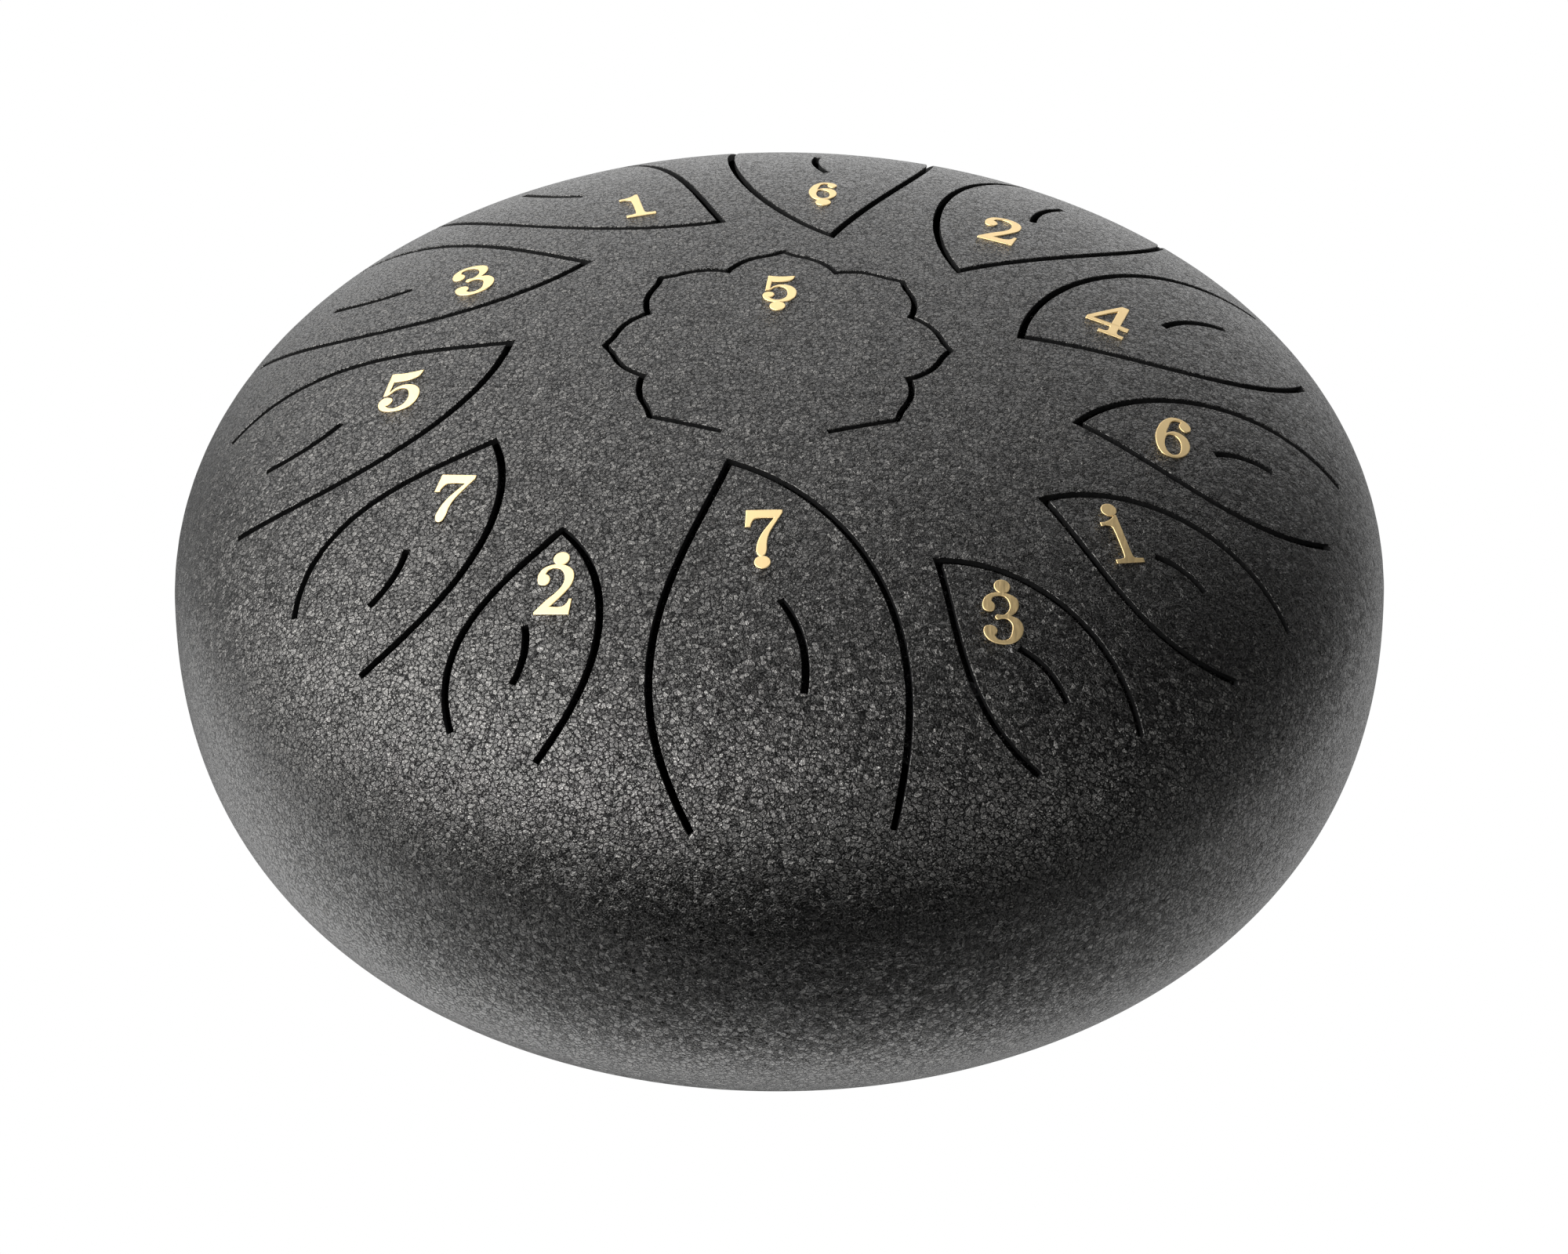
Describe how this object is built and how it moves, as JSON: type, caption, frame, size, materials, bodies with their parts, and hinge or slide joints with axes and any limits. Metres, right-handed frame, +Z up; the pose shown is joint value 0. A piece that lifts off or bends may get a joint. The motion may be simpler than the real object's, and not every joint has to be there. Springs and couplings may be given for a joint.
{
  "type": "steel tongue drum",
  "caption": "Round steel tongue drum: a leaf-cut domed top with a lotus note in the centre, a raised number on each note, a deep lower bowl with a sound hole, and rubber feet.",
  "frame": {"origin": "on the floor under the centre of the drum, at the bottom of the feet", "axes": "+Z up along the drum's axis; -Y towards the player, the side the numbers are read from; +X to the player's right"},
  "size_m": [0.305, 0.305, 0.1598],
  "materials": {
    "coating": "charcoal leather-textured powder coat",
    "note_coating": "charcoal leather-textured powder coat",
    "weld_paint": "same coat over the ground weld",
    "gold": "polished gold plate",
    "rubber": "matt moulded",
    "steel": "zinc plated"
  },
  "bodies": {
    "drum": {"foot_1": "rubber", "foot_2": "rubber", "foot_3": "rubber", "foot_4": "rubber", "foot_nut_1": "steel", "foot_nut_2": "steel", "foot_nut_3": "steel", "foot_nut_4": "steel", "foot_screw_1": "steel", "foot_screw_2": "steel", "foot_screw_3": "steel", "foot_screw_4": "steel", "foot_washer_1": "steel", "foot_washer_2": "steel", "foot_washer_3": "steel", "foot_washer_4": "steel", "lower_shell": "coating", "seam_weld": "weld_paint", "upper_shell": "coating"},
    "note_low_5": {"tongue_low_5": "note_coating", "number_low_5": "gold"},
    "note_low_6": {"tongue_low_6": "note_coating", "number_low_6": "gold"},
    "note_low_7": {"tongue_low_7": "note_coating", "number_low_7": "gold"},
    "note_mid_1": {"tongue_mid_1": "note_coating", "number_mid_1": "gold"},
    "note_mid_2": {"tongue_mid_2": "note_coating", "number_mid_2": "gold"},
    "note_mid_3": {"tongue_mid_3": "note_coating", "number_mid_3": "gold"},
    "note_mid_4": {"tongue_mid_4": "note_coating", "number_mid_4": "gold"},
    "note_mid_5": {"tongue_mid_5": "note_coating", "number_mid_5": "gold"},
    "note_mid_6": {"tongue_mid_6": "note_coating", "number_mid_6": "gold"},
    "note_mid_7": {"tongue_mid_7": "note_coating", "number_mid_7": "gold"},
    "note_high_1": {"tongue_high_1": "note_coating", "number_high_1": "gold"},
    "note_high_2": {"tongue_high_2": "note_coating", "number_high_2": "gold"},
    "note_high_3": {"tongue_high_3": "note_coating", "number_high_3": "gold"}
  },
  "joints": [
    {"name": "flex_low_5", "type": "hinge", "parent": "drum", "child": "note_low_5", "pos_m": [0, -0.0363, 0.15693], "axis": [-1, 0, 0], "range_deg": [-0.5, 0.5], "stiffness_Nm_per_rad": 6.97, "springref_deg": -0.19},
    {"name": "flex_low_6", "type": "hinge", "parent": "drum", "child": "note_low_6", "pos_m": [0.01225, 0.13865, 0.11905], "axis": [0.9961, -0.088, 0], "range_deg": [-0.5, 0.5], "stiffness_Nm_per_rad": 6.28, "springref_deg": -0.14},
    {"name": "flex_low_7", "type": "hinge", "parent": "drum", "child": "note_low_7", "pos_m": [0.00616, -0.14106, 0.11583], "axis": [-0.999, -0.0436, 0], "range_deg": [-0.5, 0.5], "stiffness_Nm_per_rad": 10.15, "springref_deg": -0.13},
    {"name": "flex_mid_1", "type": "hinge", "parent": "drum", "child": "note_mid_1", "pos_m": [-0.07717, 0.11441, 0.1205], "axis": [0.829, 0.5592, 0], "range_deg": [-0.5, 0.5], "stiffness_Nm_per_rad": 5.34, "springref_deg": -0.16},
    {"name": "flex_mid_2", "type": "hinge", "parent": "drum", "child": "note_mid_2", "pos_m": [0.08628, 0.10846, 0.12085], "axis": [0.7826, -0.6225, 0], "range_deg": [-0.5, 0.5], "stiffness_Nm_per_rad": 5.34, "springref_deg": -0.15},
    {"name": "flex_mid_3", "type": "hinge", "parent": "drum", "child": "note_mid_3", "pos_m": [-0.12374, 0.05995, 0.12102], "axis": [0.436, 0.8999, 0], "range_deg": [-0.5, 0.5], "stiffness_Nm_per_rad": 4.21, "springref_deg": -0.16},
    {"name": "flex_mid_4", "type": "hinge", "parent": "drum", "child": "note_mid_4", "pos_m": [0.1266, 0.0452, 0.1248], "axis": [0.3363, -0.9418, 0], "range_deg": [-0.5, 0.5], "stiffness_Nm_per_rad": 3.73, "springref_deg": -0.17},
    {"name": "flex_mid_5", "type": "hinge", "parent": "drum", "child": "note_mid_5", "pos_m": [-0.13481, -0.01572, 0.12299], "axis": [-0.1158, 0.9933, 0], "range_deg": [-0.5, 0.5], "stiffness_Nm_per_rad": 3.31, "springref_deg": -0.18},
    {"name": "flex_mid_6", "type": "hinge", "parent": "drum", "child": "note_mid_6", "pos_m": [0.13809, -0.01928, 0.11997], "axis": [-0.1383, -0.9904, 0], "range_deg": [-0.5, 0.5], "stiffness_Nm_per_rad": 2.02, "springref_deg": -0.19},
    {"name": "flex_mid_7", "type": "hinge", "parent": "drum", "child": "note_mid_7", "pos_m": [-0.10707, -0.08216, 0.1245], "axis": [-0.6088, 0.7934, 0], "range_deg": [-0.5, 0.5], "stiffness_Nm_per_rad": 1.78, "springref_deg": -0.2},
    {"name": "flex_high_1", "type": "hinge", "parent": "drum", "child": "note_high_1", "pos_m": [0.1188, -0.07539, 0.11848], "axis": [-0.5358, -0.8443, 0], "range_deg": [-0.5, 0.5], "stiffness_Nm_per_rad": 1.44, "springref_deg": -0.2},
    {"name": "flex_high_2", "type": "hinge", "parent": "drum", "child": "note_high_2", "pos_m": [-0.06513, -0.11971, 0.12345], "axis": [-0.8784, 0.4779, 0], "range_deg": [-0.5, 0.5], "stiffness_Nm_per_rad": 1.07, "springref_deg": -0.23},
    {"name": "flex_high_3", "type": "hinge", "parent": "drum", "child": "note_high_3", "pos_m": [0.07645, -0.11639, 0.11997], "axis": [-0.8358, -0.549, 0], "range_deg": [-0.5, 0.5], "stiffness_Nm_per_rad": 1.08, "springref_deg": -0.22}
  ]
}
